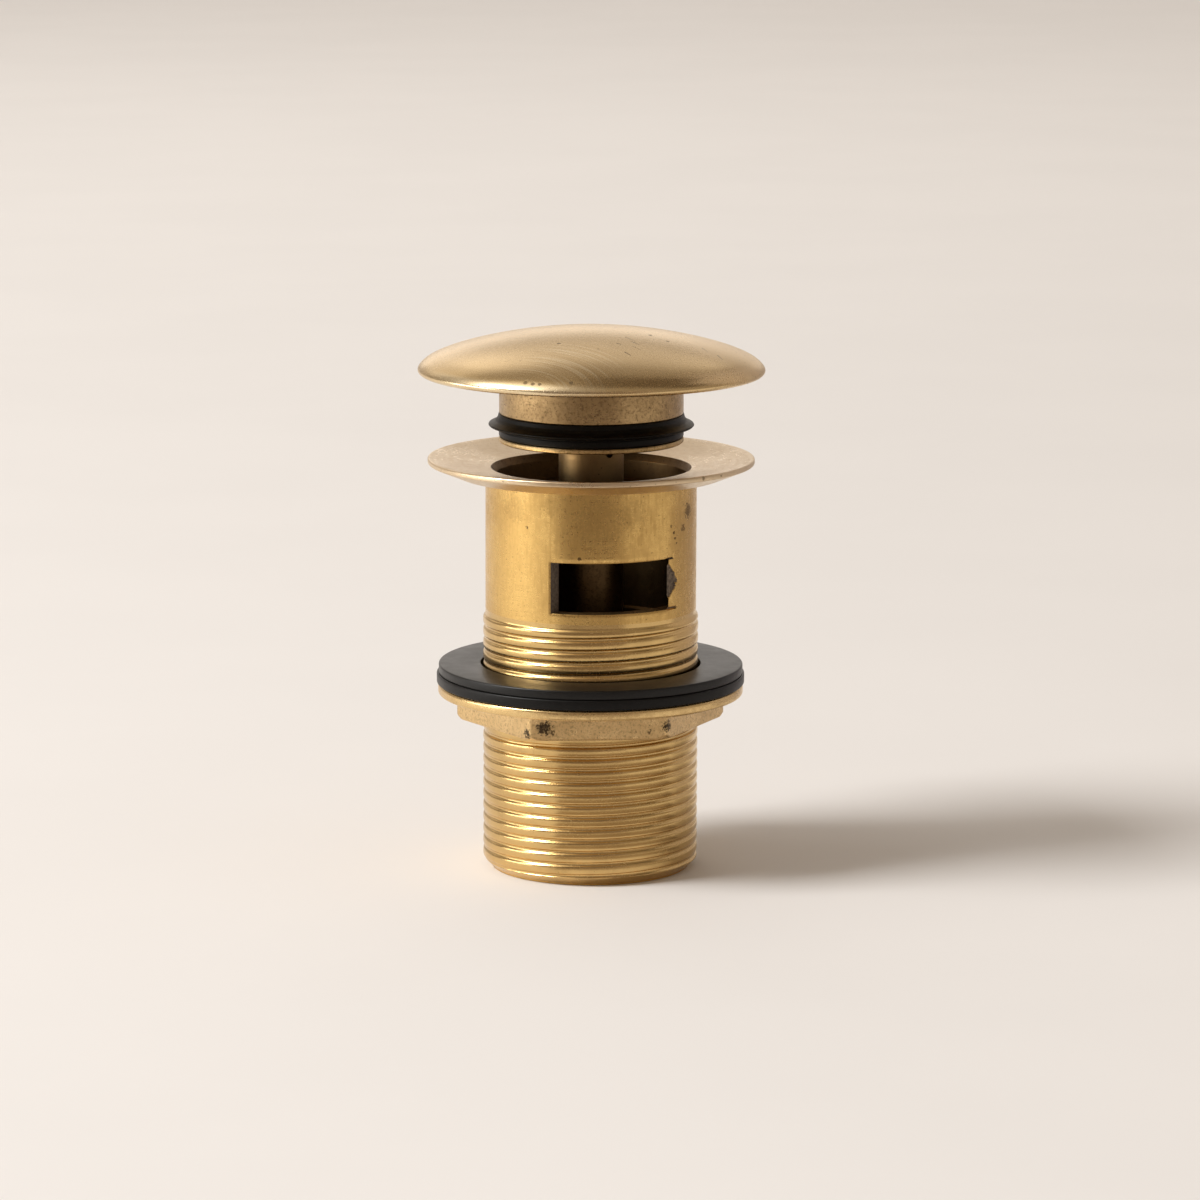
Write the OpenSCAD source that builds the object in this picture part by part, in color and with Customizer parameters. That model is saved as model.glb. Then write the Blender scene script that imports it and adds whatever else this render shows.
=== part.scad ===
// Pop up basin waste with a domed cap, drawn with the plug open.
// Millimetres, +Z up, origin at the centre of the tail's lower rim. The overflow slot faces -Y.

/* [Cap and plug] */
// Radius of the domed cap
cap_r = 33.6; // [31:0.1:36]
// Radius of the sphere that the cap's top is part of
dome_r = 81.46; // [70:0.1:110]
// Radius of the plug's neck
neck_r = 17.86; // [17.5:0.01:18]
// Radius of the seal's lip
lip_r = 19.92; // [19.6:0.01:20]

/* [Body] */
// Radius of the basin flange
flange_r = 31.7; // [29:0.1:34]
// Outer radius of the plain tube
tube_r = 20.5; // [20.2:0.05:20.7]
// Lower edge of the overflow slot
slot_z0 = 53.3; // [52.5:0.1:55]
// Upper edge of the overflow slot
slot_z1 = 63.2; // [60:0.1:68]
// Half angle that the slot takes on the tube's outside, in degrees
slot_half = 34.5; // [25:0.5:38]
// Flare of the slot's left side towards the outside, in degrees
slot_flare = 44; // [5:0.5:44]
// Lean of the slot's right side under the tube's wall, in degrees
slot_lean = 13; // [0:0.5:16]

/* [Tail thread] */
// Major diameter of the tail thread
thread_d = 41.91; // [41.9:0.01:42]
// Thread pitch
pitch = 2.309; // [2.3:0.001:2.31]

/* [Backnut and washers] */
// Radius of the backnut's flange
nut_flange_r = 29.74; // [28:0.01:32]
// Hexagon across flats
nut_af = 45.4; // [44.6:0.1:48]
// Radius of the upper rubber washer
rubber_r = 29.65; // [28:0.05:32]
// Radius of the lower friction washer
friction_r = 30.0; // [28:0.05:32]

/* [Cartridge] */
// Outer radius of the plunger sleeve
sleeve_r = 6.3; // [6.2:0.05:6.8]
// Turns of the return spring
spring_turns = 8; // [6:1:9]

/* [Hidden] */
$fn = 96;
brass = [0.78, 0.62, 0.36];
rubber = [0.06, 0.06, 0.06];
steel = [0.70, 0.71, 0.72];
acetal = [0.90, 0.89, 0.85];
// thread rings: crest width, flank width and depth
cw = 0.55;
fl = 0.65;
depth = 1.2;
thread_r = thread_d / 2;
thread_z = 1.2;
lower_turns = 12;
upper_turns = 9;
upper_z = thread_z + lower_turns * pitch;
thread_top = upper_z + upper_turns * pitch;
// the run above the trap's thread is cut a little under size
upper_r = thread_r - 0.255;
bore_low = 17.0;
bore_mid = 17.6;
mouth_r = 19.39;
mouth_z = 78.8;
rim_z = 80.75;
seat_z = 77.4;
neck_top = 97;
stud_r = 4;
// cap: rim rounding and where the dome starts
rim_round = 1;
rim_cr = cap_r - rim_round;
rim_cz = neck_top + rim_round;
dome_cz = rim_cz - sqrt(pow(dome_r - rim_round, 2) - pow(rim_cr, 2));
dome_a = asin(rim_cr / (dome_r - rim_round));

// one ring of thread after another, bottom to top
function rings(z, n, rc) = [for (i = [0:n - 1]) each [
    [rc - depth, z + i * pitch],
    [rc, z + i * pitch + fl],
    [rc, z + i * pitch + fl + cw],
    [rc - depth, z + i * pitch + 2 * fl + cw]]];

// points of an arc about (cr, cz)
function arc(cr, cz, r, a0, a1, n) = [for (i = [0:n]) let (a = a0 + (a1 - a0) * i / n) [cr + r * cos(a), cz + r * sin(a)]];

module ring(r0, r1, z0, z1) {
    translate([0, 0, z0]) difference() {
        cylinder(r = r1, h = z1 - z0);
        translate([0, 0, -1]) cylinder(r = r0, h = z1 - z0 + 2);
    }
}

module rod(r, z0, z1) {
    translate([0, 0, z0]) cylinder(r = r, h = z1 - z0);
}

// flat-sided washer with small broken edges
module washer(r0, r1, z0, z1, c) {
    rotate_extrude() polygon([[r0, z0], [r1 - c, z0], [r1, z0 + c], [r1, z1 - c], [r1 - c, z1], [r0, z1]]);
}

// part of a ring between two angles
module sector(r0, r1, z0, z1, a0, a1) {
    rotate([0, 0, a0]) rotate_extrude(angle = a1 - a0) translate([r0, z0]) square([r1 - r0, z1 - z0]);
}

module waste_body() {
    ys = tube_r * cos(slot_half);
    xs = tube_r * sin(slot_half);
    t = tan(slot_flare);
    u = tan(slot_lean);
    color(brass) difference() {
        rotate_extrude() polygon(concat(
            [[bore_low + 0.5, 0], [19.3, 0], [thread_r - depth, 0.6]],
            rings(thread_z, lower_turns, thread_r),
            rings(upper_z, upper_turns, upper_r),
            [[tube_r, thread_top + 0.6], [tube_r, 76.6], [tube_r + 0.25, 77.15], [tube_r + 0.8, seat_z], [26, seat_z],
             [flange_r - 0.15, 79.7], [flange_r, 79.95], [flange_r, 80.4], [flange_r - 0.3, rim_z],
             [mouth_r + 0.35, mouth_z + 0.08], [mouth_r, mouth_z - 0.1], [18.6, seat_z], [18.6, 74], [bore_mid, 73],
             [bore_mid, 48.5], [bore_low, 48.1], [bore_low, 0.5]]));
        translate([0, 0, slot_z0]) linear_extrude(height = slot_z1 - slot_z0)
            polygon([[-xs - (25 - ys) * t, -25], [xs - (25 - ys) * u, -25], [xs + (ys - 10) * u, -10], [-xs + (ys - 10) * t, -10]]);
    }
}

module bridge() {
    color(brass) difference() {
        union() {
            rod(7, 28, 36);
            intersection() {
                rod(bore_low - 0.01, 29, 34);
                for (a = [30, 150, 270]) rotate([0, 0, a]) translate([0, -2, 29]) cube([18, 4, 5]);
            }
        }
        rod(stud_r + 0.03, 27, 37);
    }
}

module rubber_washer() {
    color(rubber) washer(21.45, rubber_r, 38.5, 40.3, 0.2);
}

module friction_washer() {
    color(rubber) washer(21.45, friction_r, 36.5, 38.5, 0.25);
}

module backnut() {
    color(brass) difference() {
        union() {
            rotate_extrude() polygon([[20, 34.4], [nut_flange_r - 0.5, 34.4], [nut_flange_r, 34.9], [nut_flange_r, 35.6],
                [nut_flange_r - 0.25, 36.25], [nut_flange_r - 0.9, 36.48], [20, 36.48]]);
            intersection() {
                translate([0, 0, 29.3]) rotate([0, 0, -8.6]) cylinder(r = nut_af / 2 / cos(30), h = 6, $fn = 6);
                rotate_extrude() polygon([[0, 29.3], [nut_af / 2 + 0.7, 29.3], [25.4, 30.6], [25.4, 35.2], [0, 35.2]]);
            }
        }
        rotate_extrude() polygon([[0, 29], [21.9, 29], [21.9, 29.3], [21.1, 30], [21.1, 35.9], [21.7, 36.5], [21.7, 37], [0, 37]]);
    }
}

module cartridge_base() {
    color(brass) difference() {
        union() {
            rod(stud_r, 22.5, 36.02);
            translate([0, 0, 22]) cylinder(r1 = stud_r - 0.5, r2 = stud_r, h = 0.5);
            rod(5, 36.02, 38);
            rod(2, 38, 64);
        }
        rod(1.25, 55, 65);
    }
}

module lock_nut() {
    color(brass) difference() {
        translate([0, 0, 24]) cylinder(r = 6.5 / cos(30), h = 3.98, $fn = 6);
        rod(stud_r + 0.03, 23, 29);
    }
}

// core with a ring-shaped track, and cams that stand in it
module cam_core() {
    color(acetal) difference() {
        union() {
            ring(2.02, 4.2, 47.5, 50.4);
            ring(2.02, 3.3, 50.4, 59.8);
            ring(2.02, 4.2, 59.8, 64);
            for (s = [0, 180]) {
                for (a = [13, 130]) sector(3, 4.2, 50.2, 53, s + a, s + a + 37);
                for (a = [45, 102]) sector(3, 4.2, 57, 60, s + a, s + a + 33);
            }
        }
    }
}

module core_screw() {
    color(steel) difference() {
        union() {
            rod(1.2, 56, 64.62);
            rod(3.4, 64.62, 66.4);
        }
        translate([0, 0, 65.6]) cylinder(r = 1.45, h = 2, $fn = 6);
    }
}

module spring_seat() {
    color(steel) ring(1.3, 4.8, 64.01, 64.6);
}

// round wire on a helix
module return_spring() {
    wire = 0.4;
    mean = 4;
    z0 = 64.65 + wire;
    z1 = 80.95 - wire;
    n = spring_turns * 24;
    m = 8;
    lead = (z1 - z0) / spring_turns;
    tilt = atan(lead / (2 * PI * mean));
    pts = [for (i = [0:n]) let (a = 360 * spring_turns * i / n, z = z0 + (z1 - z0) * i / n)
        for (k = [0:m - 1]) let (b = 360 * k / m, u = wire * cos(b), v = wire * sin(b))
            [(mean + u) * cos(a) + v * sin(tilt) * sin(a), (mean + u) * sin(a) - v * sin(tilt) * cos(a), z + v * cos(tilt)]];
    sides = [for (i = [0:n - 1]) for (k = [0:m - 1]) each [
        [i * m + k, (i + 1) * m + k, (i + 1) * m + (k + 1) % m],
        [i * m + k, (i + 1) * m + (k + 1) % m, i * m + (k + 1) % m]]];
    ends = [[for (k = [0:m - 1]) k], [for (k = [m - 1:-1:0]) n * m + k]];
    color(steel) polyhedron(points = pts, faces = concat(sides, ends), convexity = 10);
}

module plunger_sleeve() {
    color(brass) difference() {
        union() {
            rotate_extrude() polygon([[0, 46], [sleeve_r - 0.2, 46], [sleeve_r, 46.2], [sleeve_r, 83.83], [0, 83.83]]);
            rod(stud_r, 83, 95.5);
            translate([0, 0, 95.5]) cylinder(r1 = stud_r, r2 = stud_r - 0.5, h = 0.5);
        }
        rod(5.5, 45, 60.6);
        rod(5, 60, 81);
        // cross hole for a tightening bar
        translate([0, 0, 82.2]) rotate([0, 0, 22]) rotate([90, 0, 0]) translate([0, 0, -10]) cylinder(r = 0.9, h = 20, $fn = 32);
    }
}

module guide_bush() {
    color(acetal) ring(4.35, 5.48, 47.32, 57.4);
}

module retaining_ring() {
    color(steel) difference() {
        ring(2.5, 5.48, 46.4, 47.3);
        translate([0, -0.8, 46]) cube([7, 1.6, 2]);
    }
}

module cam_ring() {
    color(acetal) difference() {
        ring(4.35, 5.35, 57.5, 60.5);
        rotate([0, 90, 0]) translate([-59, 0, -7]) cylinder(r = 0.52, h = 14, $fn = 32);
    }
}

module follower_pins() {
    color(steel) for (s = [0, 180]) rotate([0, 0, s]) translate([3.45, 0, 59]) rotate([0, 90, 0]) cylinder(r = 0.5, h = 1.85, $fn = 32);
}

module plug_body() {
    color(brass) rotate_extrude() polygon([[stud_r + 0.05, 83.85], [neck_r - 0.2, 83.85], [neck_r + 0.03, 84.1], [neck_r + 0.03, 84.6],
        [neck_r - 0.1, 84.8], [15.8, 84.8], [15.8, 89.45], [neck_r - 0.15, 89.45], [neck_r, 89.6], [neck_r, neck_top],
        [16.8, neck_top], [16.8, 95.5], [15.2, 95.5], [15.2, neck_top], [14, neck_top], [14, 86.5], [stud_r + 0.05, 86.5]]);
}

module plug_nut() {
    color(brass) difference() {
        translate([0, 0, 86.5]) cylinder(r = 6.5 / cos(30), h = 3.4, $fn = 6);
        rod(stud_r + 0.05, 86, 91);
    }
}

module lip_seal() {
    color(rubber) rotate_extrude() polygon([[15.82, 84.83], [17.6, 84.83], [17.85, 85.1], [17.9, 86.2], [17.7, 86.5], [lip_r - 0.2, 86.9],
        [lip_r, 87.1], [lip_r - 0.05, 87.35], [17.98, 89.3], [17.8, 89.43], [15.82, 89.43]]);
}

module cap_o_ring() {
    color(rubber) rotate_extrude() translate([16, 96.25]) circle(r = 0.72, $fn = 32);
}

// shell under the dome, flat land on the neck, boss with a blind hole for the stud
module dome_cap() {
    in_r = dome_r - 3;
    top = arc(0, dome_cz, dome_r, 90 - dome_a, 90, 28);
    rim = arc(rim_cr, rim_cz, rim_round, -90, 90 - dome_a, 9);
    hollow = arc(0, dome_cz, in_r, 90 - asin(19.2 / in_r), 90 - asin(29.5 / in_r), 8);
    low_r = 30.4;
    color(brass) rotate_extrude() polygon(concat(
        [[0, 98], [stud_r + 0.05, 97.5], [stud_r + 0.05, 90.4], [stud_r + 0.45, 90], [7, 90], [7, 100.5], [12.5, 100.5], [13, neck_top], [18.6, neck_top]],
        hollow, [[low_r, rim_cz - 0.6], [low_r + 0.5, neck_top]],
        [for (i = [0:len(rim) - 1]) rim[i]],
        [for (i = [1:len(top) - 1]) top[i]]));
}

waste_body();
bridge();
rubber_washer();
friction_washer();
backnut();
cartridge_base();
lock_nut();
cam_core();
core_screw();
spring_seat();
return_spring();
plunger_sleeve();
guide_bush();
retaining_ring();
cam_ring();
follower_pins();
plug_body();
plug_nut();
lip_seal();
cap_o_ring();
dome_cap();
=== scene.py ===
import math

import bmesh
import bpy
import numpy as np
from mathutils import Matrix, Vector


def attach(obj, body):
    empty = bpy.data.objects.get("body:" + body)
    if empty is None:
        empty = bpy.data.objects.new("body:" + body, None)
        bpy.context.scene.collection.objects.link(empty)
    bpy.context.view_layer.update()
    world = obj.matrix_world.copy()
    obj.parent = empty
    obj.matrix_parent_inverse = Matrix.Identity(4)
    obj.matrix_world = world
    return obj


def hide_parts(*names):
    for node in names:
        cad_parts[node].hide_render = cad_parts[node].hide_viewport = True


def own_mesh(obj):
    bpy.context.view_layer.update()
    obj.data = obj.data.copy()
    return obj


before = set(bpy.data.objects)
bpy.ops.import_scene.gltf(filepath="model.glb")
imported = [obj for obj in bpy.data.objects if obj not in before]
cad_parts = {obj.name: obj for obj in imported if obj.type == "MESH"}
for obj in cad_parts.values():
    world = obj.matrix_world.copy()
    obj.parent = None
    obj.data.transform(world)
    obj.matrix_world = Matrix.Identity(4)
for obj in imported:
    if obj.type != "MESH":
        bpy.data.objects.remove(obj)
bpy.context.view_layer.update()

MM = 0.001
scene = bpy.context.scene
PITCH = 2.309


# ---------------------------------------------------------------- mesh helpers
def arc(cr, cz, r, a0, a1, n):
    a = np.radians(np.linspace(a0, a1, n + 1))
    return [(cr + r * math.cos(t), cz + r * math.sin(t)) for t in a]


def fillet(pts, radii, n=5, closed=True):
    """Round the corners of a profile. radii: index to radius in mm."""
    out = []
    m = len(pts)
    for i, p in enumerate(pts):
        r = radii.get(i, 0) if isinstance(radii, dict) else radii
        if not r or (not closed and i in (0, m - 1)):
            out.append(tuple(p))
            continue
        p = np.array(p, float)
        a = np.array(pts[i - 1], float) - p
        b = np.array(pts[(i + 1) % m], float) - p
        la, lb = np.linalg.norm(a), np.linalg.norm(b)
        a, b = a / la, b / lb
        half = math.acos(max(-1, min(1, float(a @ b)))) / 2
        if half > math.radians(88.5):
            out.append(tuple(p))
            continue
        d = min(r / math.tan(half), 0.48 * la, 0.48 * lb)
        r = d * math.tan(half)
        c = p + (a + b) / np.linalg.norm(a + b) * (r / math.sin(half))
        s, e = p + a * d - c, p + b * d - c
        t0, t1 = math.atan2(s[1], s[0]), math.atan2(e[1], e[0])
        while t1 - t0 > math.pi:
            t1 -= 2 * math.pi
        while t1 - t0 < -math.pi:
            t1 += 2 * math.pi
        for k in range(n + 1):
            t = t0 + (t1 - t0) * k / n
            out.append((c[0] + r * math.cos(t), c[1] + r * math.sin(t)))
    return out


def finish_mesh(name, verts, faces, sharp=40, weld=2e-6, mats=None, smooth=True):
    me = bpy.data.meshes.new(name)
    me.from_pydata([tuple(v) for v in verts], [], [tuple(f) for f in faces])
    if mats is not None:
        me.polygons.foreach_set("material_index", mats)
    bm = bmesh.new()
    bm.from_mesh(me)
    bmesh.ops.remove_doubles(bm, verts=bm.verts, dist=weld)
    bmesh.ops.dissolve_degenerate(bm, dist=1e-7, edges=bm.edges)
    bmesh.ops.recalc_face_normals(bm, faces=bm.faces)
    bm.to_mesh(me)
    bm.free()
    me.polygons.foreach_set("use_smooth", [smooth] * len(me.polygons))
    if sharp:
        me.set_sharp_from_angle(angle=math.radians(sharp))
    me.update()
    o = bpy.data.objects.new(name, me)
    scene.collection.objects.link(o)
    return o


def lathe(name, prof, n=256, closed=True, sharp=40, wobble=None):
    """Turn a profile (r, z in mm) about the axis. wobble(theta, r, z) may move points."""
    th = np.linspace(0, 2 * math.pi, n, endpoint=False)
    verts, idx = [], []
    for r, z in prof:
        if r < 1e-6:
            idx.append([len(verts)] * n)
            verts.append((0, 0, z * MM))
            continue
        row = []
        for t in th:
            rr, zz = (r, z) if wobble is None else wobble(t, r, z)
            row.append(len(verts))
            verts.append((rr * math.cos(t) * MM, rr * math.sin(t) * MM, zz * MM))
        idx.append(row)
    faces = []
    m = len(prof)
    for i in range(m if closed else m - 1):
        a, b = idx[i], idx[(i + 1) % m]
        for j in range(n):
            k = (j + 1) % n
            f = []
            for v in (a[j], a[k], b[k], b[j]):
                if v not in f:
                    f.append(v)
            if len(f) > 2:
                faces.append(f)
    return finish_mesh(name, verts, faces, sharp)


def put(o, body, nodes, slot, *mats):
    for m in mats:
        o.data.materials.append(m)
    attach(o, body)
    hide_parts(*nodes)
    return o


def ripple(t, seed, terms=((1, 1.0), (2, 0.7), (3, 0.5), (5, 0.35), (8, 0.25))):
    """Smooth closed wave around the axis, about -1 to 1."""
    s = 0.0
    for k, a in terms:
        s += a * math.sin(k * t + seed * (k * 1.7 + 0.3) + k * k * 0.37)
    return s / 2.2


# ---------------------------------------------------------------- material helpers
class Mat:
    def __init__(self, name):
        self.m = bpy.data.materials.new(name)
        self.m.use_nodes = True
        self.t = self.m.node_tree
        self.t.nodes.clear()
        self.out = self.n("ShaderNodeOutputMaterial")
        self.b = self.n("ShaderNodeBsdfPrincipled")
        self.link(self.b.outputs[0], self.out.inputs[0])
        tc = self.n("ShaderNodeTexCoord")
        mp = self.n("ShaderNodeMapping")
        mp.inputs["Scale"].default_value = (1000, 1000, 1000)
        self.link(tc.outputs["Object"], mp.inputs["Vector"])
        self.p = mp.outputs[0]  # position in millimetres
        self.bumps = []
        self._cyl = None

    def n(self, kind, **kw):
        x = self.t.nodes.new(kind)
        for k, v in kw.items():
            setattr(x, k, v)
        return x

    def link(self, a, b):
        self.t.links.new(a, b)

    def math(self, op, a, b=None, c=None, clamp=False):
        x = self.n("ShaderNodeMath", operation=op, use_clamp=clamp)
        for i, v in enumerate((a, b, c)):
            if v is None:
                continue
            if hasattr(v, "is_linked") or hasattr(v, "links"):
                self.link(v, x.inputs[i])
            else:
                x.inputs[i].default_value = v
        return x.outputs[0]

    def vec(self, scale, offset=(0, 0, 0), src=None):
        x = self.n("ShaderNodeMapping")
        x.inputs["Scale"].default_value = scale
        x.inputs["Location"].default_value = offset
        self.link(src or self.p, x.inputs["Vector"])
        return x.outputs[0]

    def xyz(self):
        if self._cyl is None:
            s = self.n("ShaderNodeSeparateXYZ")
            self.link(self.p, s.inputs[0])
            self._cyl = s.outputs
        return self._cyl

    def ring(self, around, along, out=0.0, offset=0.0):
        """Coordinates that run round the axis slowly and along it (or out from it) quickly, with no seam."""
        x, y, z = self.xyz()
        r = self.math("SQRT", self.math("ADD", self.math("MULTIPLY", x, x), self.math("MULTIPLY", y, y)))
        rr = self.math("MAXIMUM", r, 0.05)
        cx = self.math("MULTIPLY", self.math("DIVIDE", x, rr), around)
        cy = self.math("MULTIPLY", self.math("DIVIDE", y, rr), around)
        cz = self.math("ADD", self.math("MULTIPLY", z, along), self.math("MULTIPLY_ADD", r, out, offset))
        c = self.n("ShaderNodeCombineXYZ")
        for i, v in enumerate((cx, cy, cz)):
            self.link(v, c.inputs[i])
        return c.outputs[0]

    def noise(self, scale, detail=3, rough=0.55, src=None, dist=0.0, offset=None):
        x = self.n("ShaderNodeTexNoise")
        x.inputs["Scale"].default_value = scale
        x.inputs["Detail"].default_value = detail
        x.inputs["Roughness"].default_value = rough
        x.inputs["Distortion"].default_value = dist
        v = src or self.p
        if offset is not None:
            v = self.vec((1, 1, 1), offset, v)
        self.link(v, x.inputs["Vector"])
        return x.outputs["Fac"]

    def voronoi(self, scale, src=None, feature="F1", rand=1.0):
        x = self.n("ShaderNodeTexVoronoi", feature=feature)
        x.inputs["Scale"].default_value = scale
        x.inputs["Randomness"].default_value = rand
        self.link(src or self.p, x.inputs["Vector"])
        return x.outputs["Distance"]

    def ramp(self, src, lo, hi, a=0.0, b=1.0):
        x = self.n("ShaderNodeMapRange")
        x.interpolation_type = "SMOOTHSTEP"
        for k, v in (("From Min", lo), ("From Max", hi), ("To Min", a), ("To Max", b)):
            x.inputs[k].default_value = v
        self.link(src, x.inputs["Value"])
        return x.outputs["Result"]

    def mix(self, fac, a, b, mode="MIX"):
        x = self.n("ShaderNodeMix", data_type="RGBA", blend_type=mode)
        if isinstance(fac, float):
            x.inputs[0].default_value = fac
        else:
            self.link(fac, x.inputs[0])
        for i, v in ((6, a), (7, b)):
            if isinstance(v, tuple):
                x.inputs[i].default_value = (*v, 1)
            else:
                self.link(v, x.inputs[i])
        return x.outputs[2]

    def near(self, at, rad, soft=0.5):
        """1 inside a ball around a point (mm), 0 outside it."""
        x = self.n("ShaderNodeVectorMath", operation="DISTANCE")
        self.link(self.p, x.inputs[0])
        x.inputs[1].default_value = at
        return self.ramp(x.outputs["Value"], rad * (1 - soft), rad, 1.0, 0.0)

    def arcs(self, cx, cy, across, along):
        """Coordinates of circles round a point off the axis, for brushing marks."""
        x, y, z = self.xyz()
        u, v = self.math("SUBTRACT", x, cx), self.math("SUBTRACT", y, cy)
        d = self.math("SQRT", self.math("MULTIPLY_ADD", u, u, self.math("MULTIPLY", v, v)))
        c = self.n("ShaderNodeCombineXYZ")
        self.link(self.math("MULTIPLY", d, across), c.inputs[0])
        self.link(self.math("MULTIPLY", self.math("ARCTAN2", v, u), along), c.inputs[1])
        return c.outputs[0]

    def bump(self, height, strength, dist):
        self.bumps.append((height, strength, dist))

    def finish(self, color, rough, metallic=1.0, **sockets):
        self.link(color, self.b.inputs["Base Color"]) if not isinstance(color, tuple) else None
        if isinstance(color, tuple):
            self.b.inputs["Base Color"].default_value = (*color, 1)
        if isinstance(rough, float):
            self.b.inputs["Roughness"].default_value = rough
        else:
            self.link(rough, self.b.inputs["Roughness"])
        self.b.inputs["Metallic"].default_value = metallic
        for k, v in sockets.items():
            self.b.inputs[k.replace("_", " ")].default_value = v
        prev = None
        for h, s, d in self.bumps:
            x = self.n("ShaderNodeBump")
            x.inputs["Strength"].default_value = s
            x.inputs["Distance"].default_value = d * MM
            self.link(h, x.inputs["Height"])
            if prev is not None:
                self.link(prev, x.inputs["Normal"])
            prev = x.outputs[0]
        if prev is not None:
            self.link(prev, self.b.inputs["Normal"])
        return self.m


def brass(name, light, dark, spot, rough, tarnish=0.5, turn=(3, 7, 0), turn_h=0.004, pits=0.5, grain=0.0, seed=0.0, spots=0.5, patches=(), streak=0.0, speck=0.22, gscale=3.2, painted_light_above=None, vary=1.0):
    """Metal with tarnish clouds, small dark spots, turning marks and pits. Sizes in mm."""
    m = Mat(name)
    cloud = m.noise(0.085, 4, 0.6, offset=(seed, seed * 2.1, 3 - seed), dist=0.6)
    fine = m.noise(0.9, 4, 0.65, offset=(seed * 3, 1, seed))
    c = m.mix(m.ramp(cloud, 0.38, 0.68, 0.0, tarnish), light, dark)
    c = m.mix(m.ramp(fine, 0.45, 0.75, 0.0, speck + tarnish * 0.25), c, dark)
    # small dark spots in patches
    sp = m.noise(2.6, 2, 0.5, offset=(7 + seed, seed, 2))
    patch = m.noise(0.16, 2, 0.5, offset=(seed + 11, 4, 1))
    mask = m.math("MULTIPLY", m.ramp(sp, 0.63, 0.72), m.ramp(patch, 0.40, 0.62, 0.12, 1.0))
    c = m.mix(m.math("MULTIPLY", mask, spots), c, spot)
    rv = m.math("ADD", m.ramp(fine, 0.3, 0.75, rough - 0.05 * vary, rough + 0.08 * vary), m.ramp(cloud, 0.35, 0.7, 0.0, tarnish * 0.14 * vary))
    rv = m.math("ADD", rv, m.math("MULTIPLY", mask, 0.2))
    if turn_h:
        marks = m.noise(1.0, 3, 0.6, src=m.ring(turn[0], turn[1], turn[2], seed))
        m.bump(marks, 0.35, turn_h * 4)
        rv = m.math("ADD", rv, m.ramp(marks, 0.35, 0.7, -0.03, 0.05))
    if streak:
        st = m.noise(1.0, 3, 0.6, src=m.ring(38, 0.22, 0, seed))
        c = m.mix(m.ramp(st, 0.42, 0.72, 0.0, streak), c, dark)
        rv = m.math("ADD", rv, m.ramp(st, 0.35, 0.7, -0.03, 0.06))
        m.bump(st, 0.25, 0.012)
    if grain:
        g = m.noise(gscale, 4, 0.7, offset=(seed, 9, 5))
        m.bump(g, 0.6, grain)
        if grain > 0.03:
            c = m.mix(m.ramp(g, 0.50, 0.62, 0.0, 0.6), c, tuple(x * 0.7 for x in dark))
            c = m.mix(m.ramp(g, 0.62, 0.76, 0.0, 0.5), c, spot)
    if patches:
        ragged = m.noise(1.9, 6, 0.8, offset=(seed, seed, 1))
        for at, rad, amount in patches:
            near = m.near(at, rad, 0.75)
            edge = m.ramp(m.math("ADD", near, m.math("MULTIPLY_ADD", ragged, 4.4, -2.36)), 0.36, 0.75)
            edge = m.math("MULTIPLY", edge, m.ramp(near, 0.0, 0.12))
            c = m.mix(m.math("MULTIPLY", edge, amount), c, spot)
            rv = m.math("ADD", rv, m.math("MULTIPLY", edge, 0.22 * amount))
    # painted light: the colour is lightened above a given height
    if painted_light_above:
        c = m.mix(m.ramp(m.xyz()[2], painted_light_above[0], painted_light_above[1], 0.0, 0.8), c, painted_light_above[2])
    if pits:
        pv = m.voronoi(0.55, src=m.vec((1, 1, 1), (seed, 3, 8)))
        pit = m.ramp(pv, 0.03, 0.11, 0.0, 1.0)
        m.bump(pit, pits, 0.05)
        c = m.mix(m.math("MULTIPLY", m.math("SUBTRACT", 1.0, pit), 0.6), c, spot)
    return m.finish(c, m.math("MINIMUM", rv, 0.95))


def rubber(name, col, dust, rough, dust_amt=0.35, seed=0.0, grain=0.03, spec=0.4):
    m = Mat(name)
    a = m.noise(0.35, 4, 0.6, offset=(seed, 1, 2))
    b = m.noise(3.4, 3, 0.6, offset=(3, seed, 1))
    d = m.voronoi(0.8, src=m.vec((1, 1, 1), (seed, 5, 3)))
    c = m.mix(m.ramp(a, 0.35, 0.7, 0.0, 0.25), col, tuple(x * 1.9 for x in col))
    c = m.mix(m.ramp(b, 0.5, 0.8, 0.0, dust_amt * 0.5), c, dust)
    c = m.mix(m.math("MULTIPLY", m.ramp(d, 0.02, 0.07, 1.0, 0.0), dust_amt), c, dust)
    m.bump(b, 0.5, grain)
    return m.finish(c, m.ramp(a, 0.3, 0.7, rough - 0.015, rough + 0.03), 0.0, Specular_IOR_Level=spec)


def plastic(name, col, rough, seed=0.0):
    m = Mat(name)
    a = m.noise(0.5, 3, 0.5, offset=(seed, 1, 2))
    b = m.noise(5.0, 3, 0.6)
    c = m.mix(m.ramp(a, 0.3, 0.7), col, tuple(x * 0.86 for x in col))
    m.bump(b, 0.3, 0.01)
    return m.finish(c, m.ramp(b, 0.3, 0.7, rough - 0.05, rough + 0.08), 0.0)


def steel(name, col, rough, seed=0.0):
    m = Mat(name)
    a = m.noise(0.6, 4, 0.6, offset=(seed, 3, 2))
    marks = m.noise(1.0, 2, 0.5, src=m.ring(4, 9, 4, seed))
    c = m.mix(m.ramp(a, 0.35, 0.7), col, tuple(x * 0.72 for x in col))
    m.bump(marks, 0.3, 0.01)
    return m.finish(c, m.ramp(a, 0.3, 0.7, rough - 0.05, rough + 0.1))


def polar(deg, r, z):
    a = math.radians(deg)
    return (r * math.cos(a), r * math.sin(a), z)


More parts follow.
